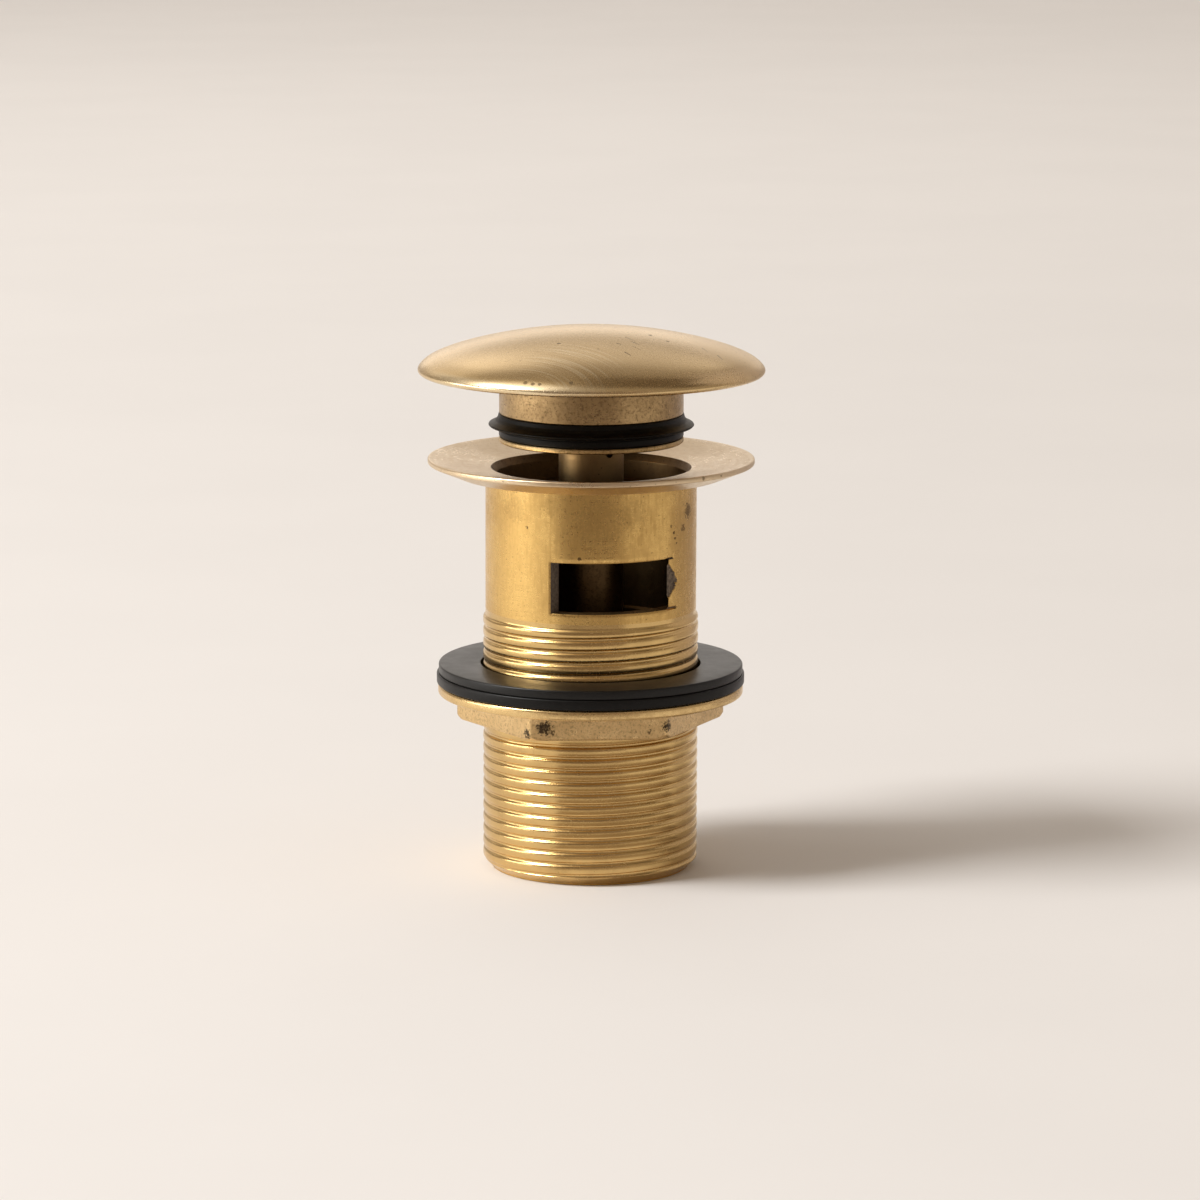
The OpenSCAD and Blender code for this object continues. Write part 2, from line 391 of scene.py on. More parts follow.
# linear colours
TUBE_MARKS = [(polar(323, 20.5, 71.6), 2.6, 0.75), (polar(317.5, 20.5, 68.6), 1.3, 0.7), (polar(306.5, 20.5, 69.4), 0.5, 0.9), (polar(308.5, 20.5, 68.0), 0.55, 0.9),
              (polar(309.8, 20.5, 66.9), 0.5, 0.9), (polar(310.8, 20.5, 65.9), 0.45, 0.9), (polar(220.8, 20.5, 69.6), 0.55, 0.9), (polar(251.5, 20.5, 64.2), 0.6, 0.9),
              (polar(262, 20.5, 71.0), 8.0, 0.20), (polar(281, 20.5, 72.5), 5.0, 0.18), (polar(236, 20.5, 74.0), 3.0, 0.12), (polar(211, 20.5, 73.0), 5.0, 0.2),
              (polar(95, 20.5, 72.0), 0.6, 0.8), (polar(100, 20.5, 70.4), 0.45, 0.8), (polar(38, 20.5, 58.0), 0.5, 0.8)]
HEX_MARKS = [(polar(229.4, 25.9, 30.5), 1.7, 0.95), (polar(237, 24.9, 31.9), 2.4, 0.95), (polar(292.6, 26.0, 31.8), 2.0, 0.95), (polar(240.5, 24.4, 30.9), 0.9, 0.8),
             (polar(256, 22.8, 33.3), 0.8, 0.7), (polar(285, 24.7, 31.0), 0.8, 0.7), (polar(40, 25, 31), 2.0, 0.8), (polar(150, 24, 32), 1.6, 0.8)]
M_BODY = brass("body_brass_turned", (0.75, 0.495, 0.175), (0.50, 0.305, 0.10), (0.115, 0.065, 0.026), 0.27, 0.5, (2.2, 5, 0), 0.004, 0.3, 0, 1.0, 0.35, TUBE_MARKS, 0.35, 0.12)
M_FLANGE = brass("body_brass_flange", (0.76, 0.60, 0.40), (0.62, 0.475, 0.30), (0.20, 0.13, 0.07), 0.31, 0.35, (2, 2, 5), 0.002, 0.12, 0, 2.0, 0.3,
                 [(polar(300, 31.6, 80.3), 0.7, 0.7), (polar(309, 31.7, 80.2), 0.5, 0.6), (polar(226, 31.6, 80.2), 0.4, 0.5)], 0, 0.1)
M_THREAD = brass("body_brass_thread", (0.74, 0.51, 0.213), (0.49, 0.32, 0.127), (0.10, 0.06, 0.025), 0.21, 0.4, (2, 5, 0), 0.0, 0.0, 0, 3.0, 0.2, (), 0.0, 0.02, vary=0.25)
# bore colour kept far darker than the outside brass: painted shade inside the tube
M_BORE = brass("body_brass_bore", (0.27, 0.17, 0.076), (0.15, 0.092, 0.04), (0.045, 0.027, 0.013), 0.42, 0.6, (2, 4, 0), 0.006, 0.3, 0.02, 4.0, 0.6)
def dull(name, col, dark, seed):
    """Grey, grainy, oxidised metal without a mirror side."""
    m = Mat(name)
    a = m.noise(1.6, 4, 0.65, offset=(seed, 2, 4))
    b = m.noise(5.0, 3, 0.7, offset=(1, seed, 6))
    c = m.mix(m.ramp(a, 0.36, 0.66), col, dark)
    c = m.mix(m.ramp(b, 0.55, 0.75, 0.0, 0.5), c, tuple(x * 1.7 for x in col))
    m.bump(a, 0.7, 0.12)
    m.bump(b, 0.6, 0.05)
    return m.finish(c, m.ramp(b, 0.3, 0.7, 0.55, 0.8), 0.25, Specular_IOR_Level=0.3)


M_JAMB = dull("slot_jamb_dull", (0.19, 0.148, 0.112), (0.105, 0.081, 0.061), 1.0)
M_CHIP = dull("slot_break_grey", (0.235, 0.18, 0.132), (0.09, 0.068, 0.05), 2.0)


def cap_outline(step=0.25):
    """Cap's top from the apex to its widest point: the slope (degrees) grows towards the edge."""
    rr = [0, 10, 20, 24, 27, 29, 30.5, 31.5, 32.3, 32.9, 33.45]
    sl = [0, 6.2, 12.2, 14.6, 17.6, 20.8, 25, 29.5, 37.5, 44, 58]
    pts, z, r = [(0.0, 105.9)], 105.9, 0.0
    while r < 33.45 - 1e-6:
        d = min(step if r > 26 else 0.8, 33.45 - r)
        z -= d * math.tan(math.radians(np.interp(r + d / 2, rr, sl)))
        r += d
        pts.append((r, z))
    # last turn, down to the vertical
    q = 0.15 / (1 - math.sin(math.radians(58)))
    for a in np.linspace(58, 90, 9)[1:]:
        t = math.radians(a)
        pts.append((33.45 + q * (math.sin(t) - math.sin(math.radians(58))), z - q * (math.cos(math.radians(58)) - math.cos(t))))
    return pts


CAP_TOP = cap_outline()


def on_cap(x, y):
    """The point of the cap's top over x, y."""
    return (x, y, float(np.interp(math.hypot(x, y), [a for a, b in CAP_TOP], [b for a, b in CAP_TOP])))


def cap_metal():
    """Satin dome: fine arcs of brushing with a painted highlight near the front, a few nicks and scratches, a painted
    highlight at the front-left edge, painted shade and pitting towards the right.
    """
    m = Mat("cap_brass_satin")
    light, dark, spot = (0.735, 0.535, 0.275), (0.545, 0.38, 0.18), (0.10, 0.062, 0.03)
    cloud = m.noise(0.07, 3, 0.5, offset=(6, 2, 1))
    c = m.mix(m.ramp(cloud, 0.35, 0.7, 0.0, 0.35), light, dark)
    fine = m.noise(2.4, 4, 0.65, offset=(1, 6, 2))
    c = m.mix(m.ramp(fine, 0.5, 0.75, 0.0, 0.10), c, dark)
    # brushing; near the front one set of strokes is painted pale with dark between: real brush marks carrying a painted
    # highlight and painted shade
    b1 = m.noise(1.0, 3, 0.7, src=m.arcs(-30.0, -38.0, 2.4, 0.9))
    b2 = m.noise(1.0, 3, 0.7, src=m.arcs(8.0, 6.0, 2.2, 1.0))
    front = m.near((-9, -23, 101.5), 14, 0.7)
    brush_glint_strokes = m.math("MULTIPLY", m.ramp(b1, 0.52, 0.60), m.math("MULTIPLY_ADD", front, 0.85, 0.1))
    c = m.mix(m.math("MULTIPLY", brush_glint_strokes, 0.55), c, (0.97, 0.82, 0.56))
    c = m.mix(m.math("MULTIPLY", m.ramp(b1, 0.38, 0.46, 1.0, 0.0), m.math("MULTIPLY", front, 0.5)), c, dark)
    c = m.mix(m.ramp(b2, 0.48, 0.75, 0.0, 0.16), c, dark)
    # painted highlight: the edge's colour made paler towards the front-left, where the lamp's highlight falls
    x, y, z = m.xyz()
    r = m.math("SQRT", m.math("MULTIPLY_ADD", x, x, m.math("MULTIPLY", y, y)))
    rim_painted_highlight = m.math("MULTIPLY", m.ramp(r, 32.2, 33.3), m.math("MULTIPLY", m.ramp(m.noise(0.2, 2, 0.5), 0.3, 0.6, 0.5, 0.7), m.near((-24, -24, 99), 26, 0.6)))
    c = m.mix(rim_painted_highlight, c, (0.88, 0.74, 0.50))
    # painted shade: the right side darkened; pitting at the right
    right_side = m.near((31, -8, 98), 21, 0.8)
    pit = m.noise(2.2, 3, 0.6, offset=(3, 3, 3))
    pits = m.math("MULTIPLY", m.ramp(pit, 0.60, 0.70), right_side)
    c = m.mix(m.math("MULTIPLY", right_side, 0.22), c, dark)
    c = m.mix(m.math("MULTIPLY", pits, 0.7), c, spot)
    # sparse nicks and short scratches
    nick = m.voronoi(0.16, src=m.vec((1, 1, 1), (3.3, 1.7, 0)))
    nk = m.ramp(nick, 0.022, 0.05, 1.0, 0.0)
    sc = m.noise(1.0, 2, 0.5, src=m.vec((0.55, 3.2, 1.0), (5, 2, 7)))
    sp = m.noise(0.11, 2, 0.5, offset=(2, 8, 4))
    scr = m.math("MULTIPLY", m.ramp(sc, 0.70, 0.76), m.ramp(sp, 0.52, 0.62))
    marks = m.math("MAXIMUM", nk, scr)
    for x, y, rad in ((-18.5, -26.6, 0.55), (-17.3, -27.6, 0.5), (-16.1, -28.3, 0.45), (-10.5, -30.3, 0.5), (-9.0, -12.0, 0.5), (10.0, -7.0, 0.5), (12.5, -11.0, 0.45)):
        marks = m.math("MAXIMUM", marks, m.near(on_cap(x, y), rad, 0.4))
    for x0, y0, x1, y1, rad in ((4.6, -10.1, 5.6, -12.7, 0.30), (5.0, -13.4, 5.9, -15.1, 0.26), (1.8, -14.5, 2.5, -15.2, 0.22), (2.2, -19.9, 2.8, -21.5, 0.24), (4.6, -16.3, 5.5, -18.4, 0.20), (19.0, -12.5, 19.5, -14.7, 0.22), (21.2, -16.0, 21.6, -17.9, 0.24)):
        for k in (0.0, 0.25, 0.5, 0.75, 1.0):
            marks = m.math("MAXIMUM", marks, m.near(on_cap(x0 + (x1 - x0) * k, y0 + (y1 - y0) * k), rad * (1.1 - 0.4 * k), 0.5))
    c = m.mix(m.math("MULTIPLY", marks, 0.75), c, spot)
    rough = m.math("ADD", m.ramp(fine, 0.3, 0.75, 0.25, 0.285), m.math("MULTIPLY", right_side, 0.06))
    rough = m.math("ADD", rough, m.math("MULTIPLY", marks, 0.2))
    m.bump(b1, 0.2, 0.008)
    m.bump(fine, 0.06, 0.005)
    m.bump(m.math("SUBTRACT", 1.0, m.math("MAXIMUM", marks, pits)), 0.5, 0.03)
    return m.finish(c, rough)


M_CAP = cap_metal()
M_NECK = brass("neck_brass_rough", (0.47, 0.32, 0.155), (0.27, 0.175, 0.082), (0.045, 0.03, 0.015), 0.31, 0.75, (2.5, 5, 0), 0.004, 0.6, 0.036, 7.0, 1.0, speck=0.35, gscale=1.7)
M_NUT = brass("nut_brass_turned", (0.80, 0.57, 0.265), (0.60, 0.40, 0.175), (0.12, 0.07, 0.03), 0.25, 0.45, (2.5, 5, 5), 0.003, 0.0, 0.0, 8.0, 0.4)
M_HEX = brass("nut_brass_cast", (0.82, 0.58, 0.285), (0.60, 0.41, 0.19), (0.05, 0.037, 0.025), 0.28, 0.45, (2, 2, 2), 0.0, 0.4, 0.06, 9.0, 0.6, HEX_MARKS, gscale=2.1)
# sleeve colour kept dark: painted shade inside the body; lighter above the body's mouth: painted light
M_SLEEVE = brass("sleeve_brass_painted_shade", (0.20, 0.128, 0.058), (0.12, 0.074, 0.032), (0.04, 0.024, 0.012), 0.40, 0.6, (2.5, 6, 0), 0.005, 0.3, 0.034, 10.0, 0.6, gscale=2.0, painted_light_above=(74.0, 79.0, (0.44, 0.31, 0.155)))
M_EDGE = brass("plug_edge_brass", (0.66, 0.48, 0.24), (0.42, 0.29, 0.135), (0.06, 0.04, 0.02), 0.36, 0.5, (2, 2, 2), 0.0, 0.5, 0.05, 12.0, 0.8, gscale=2.2)
M_INNER = brass("inner_brass_machined", (0.60, 0.42, 0.19), (0.42, 0.28, 0.12), (0.10, 0.06, 0.03), 0.34, 0.5, (3, 6, 3), 0.004, 0.3, 0.0, 11.0, 0.5)
M_SEAL = rubber("seal_rubber_black", (0.0030, 0.0027, 0.0024), (0.20, 0.18, 0.15), 0.40, 0.16, 1.0, 0.012, 0.16)
M_WASH = rubber("washer_rubber_black", (0.0040, 0.0037, 0.0033), (0.16, 0.15, 0.135), 0.35, 0.14, 2.0, 0.006, 0.35)
M_FRIC = rubber("friction_rubber_black", (0.0034, 0.0031, 0.0028), (0.13, 0.12, 0.11), 0.38, 0.14, 3.0, 0.006, 0.24)
M_ACETAL = plastic("acetal_moulded", (0.78, 0.765, 0.71), 0.38, 1.0)
M_STEEL = steel("steel_bright", (0.60, 0.60, 0.61), 0.28, 1.0)


# ---------------------------------------------------------------- cap
DOME_R, dome_cz = 84.0, 21.6
in_r = DOME_R - 3
hollow = arc(0, dome_cz, in_r, 90 - math.degrees(math.asin(19.2 / in_r)), 90 - math.degrees(math.asin(29.5 / in_r)), 14)
under = fillet(
    [(0, 98.0), (4.05, 97.5), (4.05, 90.4), (4.45, 90.0), (7, 90.0), (7, 100.5), (12.5, 100.5), (13, 97.0), (18.6, 97.0), hollow[0]],
    {4: 0.3, 5: 0.8, 6: 0.8, 7: 0.3, 8: 0.3}, 4, False)
prof = under + hollow[1:] + [(30.2, 97.25), (30.6, 97.0), (32.45, 97.0), (32.85, 97.05), (33.2, 97.2), (33.45, 97.43), (33.57, 97.64)]
prof += CAP_TOP[::-1]
cap = lathe("dome_cap_shell", prof, 288, False, 42)
put(cap, "plug", ["dome_cap"], "cap_brass", M_CAP)

# ---------------------------------------------------------------- plug body
pb = [(4.05, 83.85), (17.7, 83.85), (17.89, 84.05), (17.89, 84.6), (17.75, 84.8), (15.8, 84.8), (15.8, 89.45), (17.7, 89.45), (17.86, 89.62), (17.86, 97.0),
      (16.8, 97.0), (16.8, 95.5), (15.2, 95.5), (15.2, 97.0), (14, 97.0), (14, 86.5), (4.05, 86.5)]
pb = fillet(pb, {1: 0.12, 2: 0.12, 3: 0.12, 7: 0.1, 8: 0.1, 14: 0.15, 15: 0.8}, 3)
plug = lathe("plug_body_turned", pb, 224, True, 42)
put(plug, "plug", ["plug_body"], "neck_brass", M_NECK, M_EDGE)
for f in plug.data.polygons:
    if f.center.z < 84.79 * MM and math.hypot(f.center.x, f.center.y) > 16.5 * MM:
        f.material_index = 1

# ---------------------------------------------------------------- lip seal
ls = [(15.82, 84.83), (17.6, 84.83), (17.9, 85.15), (17.9, 86.15), (17.72, 86.5), (19.72, 86.92), (19.92, 87.12), (19.82, 87.34), (19.2, 87.6), (18.55, 88.0), (18.15, 88.55), (17.96, 89.28), (17.8, 89.43), (15.82, 89.43)]
ls = fillet(ls, {1: 0.15, 2: 0.25, 3: 0.3, 4: 0.2, 5: 0.12, 6: 0.1, 7: 0.12, 8: 0.6, 9: 0.6, 10: 0.5, 11: 0.12}, 4)


def lip_wobble(t, r, z):
    k = max(0.0, (r - 18.4) / 1.5)
    return r + 0.03 * k * ripple(t, 2.0), z + 0.05 * k * ripple(t, 5.0)


seal = lathe("lip_seal_ring", ls, 224, True, 50, lip_wobble)
put(seal, "plug", ["lip_seal"], "seal_rubber", M_SEAL)

# ---------------------------------------------------------------- washers
rw = fillet([(21.45, 38.52), (29.65, 38.52), (29.65, 40.3), (21.45, 40.3)], {1: 0.2, 2: 0.32, 0: 0.1, 3: 0.15}, 4)
fw = fillet([(21.45, 36.5), (30.0, 36.5), (30.0, 38.48), (21.45, 38.48)], {1: 0.25, 2: 0.28, 0: 0.1, 3: 0.1}, 4)
wash = lathe("rubber_washer_ring", rw, 256, True, 50, lambda t, r, z: (r + 0.05 * ripple(t, 1.0) * (r > 25), z))
put(wash, "washers", ["rubber_washer"], "washer_rubber", M_WASH)
fric = lathe("friction_washer_ring", fw, 256, True, 50, lambda t, r, z: (r + 0.04 * ripple(t, 3.0) * (r > 25), z))
put(fric, "washers", ["friction_washer"], "friction_rubber", M_FRIC)


# ---------------------------------------------------------------- backnut
def hex_radius(th, af=45.4, corner=1.0, turn=21.4):
    """Distance from the axis to a hexagon with rounded corners, in the direction th (degrees)."""
    a = (th - turn + 30) % 60 - 30
    half = af / 2
    c = (half - corner) / math.cos(math.radians(30))
    t = abs(a)
    if half * math.tan(math.radians(t)) <= (half - corner) * math.tan(math.radians(30)):
        return half / math.cos(math.radians(t))
    d = math.radians(30 - t)
    s = c * math.sin(d)
    return c * math.cos(d) + math.sqrt(max(0.0, corner**2 - s * s))


def make_nut():
    n = 360
    fl = fillet([(29.74, 34.4), (29.74, 36.48)], {}, 4)
    rows = []  # each: function of theta in degrees giving (r, z)
    R = rows.append
    for z in (35.9, 33, 30.1):
        R(lambda t, z=z: (21.1, z))
    R(lambda t: (21.55, 29.5))
    R(lambda t: (21.75, 29.32))
    R(lambda t: (21.95, 29.3))
    R(lambda t: (min(hex_radius(t), 25.35) - 0.22, 29.3))
    R(lambda t: (min(hex_radius(t), 25.35) - 0.06, 29.36))

    def side(z):
        # turned chamfer at the lower corners
        lim = 25.35 + (z - 29.3) * 0.9
        return lambda t: (min(hex_radius(t), lim), z)

    for z in (29.5, 29.8, 30.1, 30.4, 30.7, 31.0, 31.4, 32.0, 32.8, 33.6, 34.1):
        R(side(z))
    R(lambda t: (hex_radius(t) + 0.08, 34.3))
    R(lambda t: (hex_radius(t) + 0.3, 34.38))
    R(lambda t: (max(26.6, hex_radius(t) + 0.6), 34.4))
    for r, z in fillet([(28, 34.4), (29.74, 34.4), (29.74, 36.48), (27, 36.48)], {1: 0.4, 2: 0.75}, 5, False)[1:]:
        R(lambda t, r=r, z=z: (r, z))
    R(lambda t: (21.9, 36.48))
    R(lambda t: (21.4, 36.2))
    verts, faces, mats = [], [], []
    for f in rows:
        for j in range(n):
            t = 360 * j / n
            r, z = f(t)
            verts.append((r * math.cos(math.radians(t)) * MM, r * math.sin(math.radians(t)) * MM, z * MM))
    m = len(rows)
    hex_rows = range(5, 22)
    for i in range(m):
        for j in range(n):
            a, b = i * n, ((i + 1) % m) * n
            k = (j + 1) % n
            faces.append((a + j, a + k, b + k, b + j))
            mats.append(1 if i in hex_rows else 0)
    return finish_mesh("backnut_flanged", verts, faces, 38, 1e-6, mats)


nut = make_nut()
put(nut, "backnut", ["backnut"], "nut_brass", M_NUT, M_HEX)


# ---------------------------------------------------------------- waste body
def make_body():
    tube_r = 20.5
    z0, z1 = 53.3, 63.2
    half_out, half_left, half_right = 34.5, 32.9, 46.2
    cols = set(np.round(np.arange(0, 361.0, 1.5), 4))
    cols |= {235.1} | set(np.round(np.arange(304.5, 312.01, 0.25), 4))
    cols = np.array(sorted(cols))
    nc = len(cols)
    c0 = int(np.argmin(abs(cols - (270 - half_out))))
    c1 = int(np.argmin(abs(cols - (270 + half_out))))

    def inner_theta(t):
        d = t - 270
        s, a = np.sign(d), abs(d)
        half_in = half_left if d < 0 else half_right
        if a <= half_out:
            return 270 + s * a * half_in / half_out
        if a < 90:
            return 270 + s * (half_in + (a - half_out) * (90 - half_in) / (90 - half_out))
        return t

    def broken(t, z):
        """How far inside the break's outline a point of the tube is; below 0 is outside it."""
        v = abs((z - 58.6) / (3.5 if z > 58.6 else 3.1))
        w = (1 - v**1.45) * (1 + 0.07 * math.sin(4.3 * z) + 0.05 * math.sin(9.7 * z + 1.0)) if v < 1 else 0.0
        if z < z0 + 0.28:
            w = max(w, 0.98)
        if z > z1 - 0.2:
            w = max(w, 0.55)
        return w - (t - 304.5) / 6.9

    th_out = cols
    th_in = np.array([inner_theta(t) for t in cols])
    rows, kind = [], []  # rows: (theta, r, z) arrays; kind: material of the strip that starts here

    def add(theta, r, z, k):
        rows.append((theta, np.broadcast_to(np.asarray(r, float), nc).copy(), np.broadcast_to(np.asarray(z, float), nc).copy()))
        kind.append(k)

    # lower rim, from the bore outwards
    add(th_in, 17.0, 0.55, 0)
    add(th_in, 17.15, 0.2, 0)
    add(th_in, 17.5, 0.0, 0)
    add(th_out, 19.0, 0.0, 0)
    add(th_out, 19.25, 0.1, 0)
    # thread: rows follow the helix
    zb, zt = 0.35, 50.9
    R = 20.955
    # broad, nearly flat ridges with small edges and a narrow valley between them: height from the ridge's middle, depth
    prof = [(-PITCH / 2, 0.36), (-1.05, 0.362), (-0.985, 0.345), (-0.93, 0.30), (-0.88, 0.24), (-0.83, 0.18), (-0.77, 0.122), (-0.69, 0.074), (-0.50, 0.028), (-0.20, 0.004),
            (0.12, 0.0), (0.40, 0.016), (0.56, 0.046), (0.66, 0.088), (0.73, 0.14), (0.79, 0.20), (0.85, 0.265), (0.915, 0.32), (1.0, 0.352), (1.08, 0.36)]
    prof = [(a, R - b) for a, b in prof]
    crest0 = 48.97 - PITCH * 167.5 / 360  # height of a crest at theta 0
    k_lo = math.floor((zb - crest0) / PITCH) - 2
    k_hi = math.ceil((zt - crest0) / PITCH) + 1
    for k in range(k_lo, k_hi + 1):
        for i, (dz, pr) in enumerate(prof):
            z = crest0 + PITCH * (th_out / 360) + k * PITCH + dz
            if z.max() <= zb or z.min() >= zt:
                continue
            z = np.clip(z, zb, zt)
            r = np.full(nc, pr)
            # small dents along the crests
            if i:
                t = np.radians(th_out)
                w = np.sin(7 * t + k * 2.9) + np.sin(13 * t + k * 5.1 + 1.0) + 0.8 * np.sin(29 * t + k * 1.7)
                r = r - 0.012 * np.clip(w - 2.05, 0, 1.0)
            # run-out under the plain tube
            f = np.clip((50.55 - z) / 0.9, 0, 1)
            f = f * f * (3 - 2 * f)
            r = tube_r + (r - tube_r) * f
            # chamfer at the tail's end
            r = np.minimum(r, 19.3 + (z - zb) * 1.05)
            add(th_out, r, z, 1)
    # plain tube
    zrow = [51.3, 52.0, 52.7, 53.1, z0]
    mid = sorted(set(np.round(np.linspace(z0, z1, 43), 4)) | {z0 + 0.1, z1 - 0.1})[1:]
    top = [63.42, 64.2, 66, 68, 70, 72, 74, 75.6, 76.6]
    i_z0 = i_z1 = None
    for z in zrow + mid + top:
        r = np.full(nc, tube_r)
        if z0 - 1e-6 <= z <= z1 + 1e-6:
            # softened slot edges
            r[c0] -= 0.10
            r[c1] -= 0.10
            if abs(z - z0) < 1e-6 or abs(z - z1) < 1e-6:
                r[c0 : c1 + 1] -= 0.10
                r[c0] += 0.06
                r[c1] += 0.06
            # shallow break along the slot's right edge, and nicks past its corners
            for j in range(c1, nc):
                e = broken(cols[j], z)
                if e > 0:
                    r[j] -= 0.40 * min(1.0, e * 9.0)
        add(th_out, r, z, 0)
        if abs(z - z0) < 1e-6:
            i_z0 = len(rows) - 1
        if abs(z - z1) < 1e-6:
            i_z1 = len(rows) - 1
    # flange
    fl = fillet([(20.5, 76.3), (20.5, 77.4), (26, 77.4), (31.7, 79.72), (31.7, 80.75), (19.39, 78.8), (18.6, 77.4), (18.6, 74), (17.6, 73)],
                {1: 0.7, 2: 1.5, 3: 0.3, 4: 0.32, 5: 0.3, 6: 0.25}, 5, False)[1:-1]
    dish0 = None
    for i, (r, z) in enumerate(fl):
        # a few more rows over the dished face
        add(th_out if r > 18.61 else th_in, r, z, 2 if r > 19.5 else 3)
        nxt = fl[i + 1] if i + 1 < len(fl) else None
        if nxt and r - nxt[0] > 5:
            for s in np.linspace(0, 1, 9)[1:-1]:
                add(th_out, r + (nxt[0] - r) * s, z + (nxt[1] - z) * s, 2)
    # bore
    for z in (73, 70, 66, 64, ):
        add(th_in, 17.6, z, 3)
    inner = [z1] + mid[::-1][1:] + [z0]
    k_z1 = k_z0 = None
    for z in inner:
        add(th_in, 17.6, z, 3)
        if abs(z - z1) < 1e-6:
            k_z1 = len(rows) - 1
        if abs(z - z0) < 1e-6:
            k_z0 = len(rows) - 1
    for r, z in ((17.6, 52), (17.6, 48.55), (17.0, 48.1), (17.0, 44), (17.0, 30), (17.0, 15), (17.0, 3)):
        add(th_in, r, z, 3)
    nr = len(rows)
    P = np.zeros((nr, nc, 3))
    for i, (t, r, z) in enumerate(rows):
        P[i, :, 0] = r * np.cos(np.radians(t))
        P[i, :, 1] = r * np.sin(np.radians(t))
        P[i, :, 2] = z
    faces, mats = [], []
    idx = lambda i, j: (i % nr) * nc + j
    for i in range(nr):
        for j in range(nc - 1):
            if c0 <= j < c1 and (i_z0 <= i < i_z1 or k_z1 <= i < k_z0):
                continue
            faces.append((idx(i, j), idx(i, j + 1), idx(i + 1, j + 1), idx(i + 1, j)))
            m = kind[i]
            if i_z0 <= i < i_z1 and j >= c1:
                zc = 0.5 * (rows[i][2][0] + rows[i + 1][2][0])
                if broken(0.5 * (cols[j] + cols[j + 1]), zc) > 0:
                    m = 5
            mats.append(m)
    # slot walls, outer edge to inner edge, in three strips
    extra = []
    base = nr * nc
    strips = 3
    outer = [(i, c0) for i in range(i_z0, i_z1 + 1)] + [(i_z1, j) for j in range(c0 + 1, c1 + 1)]
    outer += [(i, c1) for i in range(i_z1 - 1, i_z0 - 1, -1)] + [(i_z0, j) for j in range(c1 - 1, c0, -1)]
    span = i_z1 - i_z0

    def mate(i, j):
        return (k_z0 - (i - i_z0), j)

    ring_ids = []
    for i, j in outer:
        a, b = P[i, j], P[mate(i, j)]
        ids = [idx(i, j)]
        for s in range(1, strips):
            ids.append(base + len(extra))
            extra.append(a + (b - a) * s / strips)
        ids.append(idx(*mate(i, j)))
        ring_ids.append(ids)
    for q in range(len(ring_ids)):
        a, b = ring_ids[q], ring_ids[(q + 1) % len(ring_ids)]
        for s in range(strips):
            faces.append((a[s], b[s], b[s + 1], a[s + 1]))
            mats.append(4 if q < span else 3)
    V = np.concatenate([P.reshape(-1, 3), np.array(extra)]) * MM
    return finish_mesh("waste_body_turned", V, faces, 40, 2e-6, mats)


body = make_body()
put(body, "waste_body", ["waste_body"], "body_brass", M_BODY, M_THREAD, M_FLANGE, M_BORE, M_JAMB, M_CHIP)

# ---------------------------------------------------------------- return spring
def make_spring():
    wire, mean, turns, z0, z1, n, m = 0.4, 4.0, 8, 65.05, 80.55, 8 * 40, 12
    tilt = math.atan((z1 - z0) / turns / (2 * math.pi * mean))
    verts, faces = [], []
    for i in range(n + 1):
        a = 2 * math.pi * turns * i / n
        z = z0 + (z1 - z0) * i / n
        for k in range(m):
            u, v = wire * math.cos(2 * math.pi * k / m), wire * math.sin(2 * math.pi * k / m)
            verts.append((((mean + u) * math.cos(a) + v * math.sin(tilt) * math.sin(a)) * MM,
                          ((mean + u) * math.sin(a) - v * math.sin(tilt) * math.cos(a)) * MM, (z + v * math.cos(tilt)) * MM))
    for i in range(n):
        for k in range(m):
            q = (k + 1) % m
            faces.append((i * m + k, i * m + q, (i + 1) * m + q, (i + 1) * m + k))
    faces += [tuple(range(m)), tuple(range(n * m, n * m + m))]
    return finish_mesh("return_spring_coil", verts, faces, 50)


spring = make_spring()
put(spring, "waste_body", ["return_spring"], "steel", M_STEEL)
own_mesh(spring)

# ---------------------------------------------------------------- CAD pieces that stay
KEEP = {
    "bridge": M_INNER, "cartridge_base": M_INNER, "lock_nut": M_INNER, "plug_nut": M_INNER, "cam_core": M_ACETAL, "guide_bush": M_ACETAL, "cam_ring": M_ACETAL,
    "core_screw": M_STEEL, "spring_seat": M_STEEL, "retaining_ring": M_STEEL, "follower_pins": M_STEEL,
    "plunger_sleeve": M_SLEEVE, "cap_o_ring": M_SEAL,
}
for name, mat in KEEP.items():
    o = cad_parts[name]
    o.data.materials.clear()
    o.data.materials.append(mat)


# ---------------------------------------------------------------- stage, light, camera
AZ, EL, DIST, Z0 = math.radians(-12.5), math.radians(10.4), 1.05, 0.0525
back = Vector((math.sin(AZ) * math.cos(EL), -math.cos(AZ) * math.cos(EL), math.sin(EL)))
right = Vector((math.cos(AZ), math.sin(AZ), 0))
ahead = Vector((-math.sin(AZ), math.cos(AZ), 0))  # away from the camera, on the floor


def stage_mat(name, col):
    m = Mat(name)
    a = m.noise(0.01, 3, 0.5)
    b = m.noise(1.2, 3, 0.6)
    c = m.mix(m.ramp(a, 0.3, 0.7), col, tuple(x * 0.985 for x in col))
    m.bump(b, 0.15, 0.02)
    return m.finish(c, 0.85, 0.0, Specular_IOR_Level=0.15)


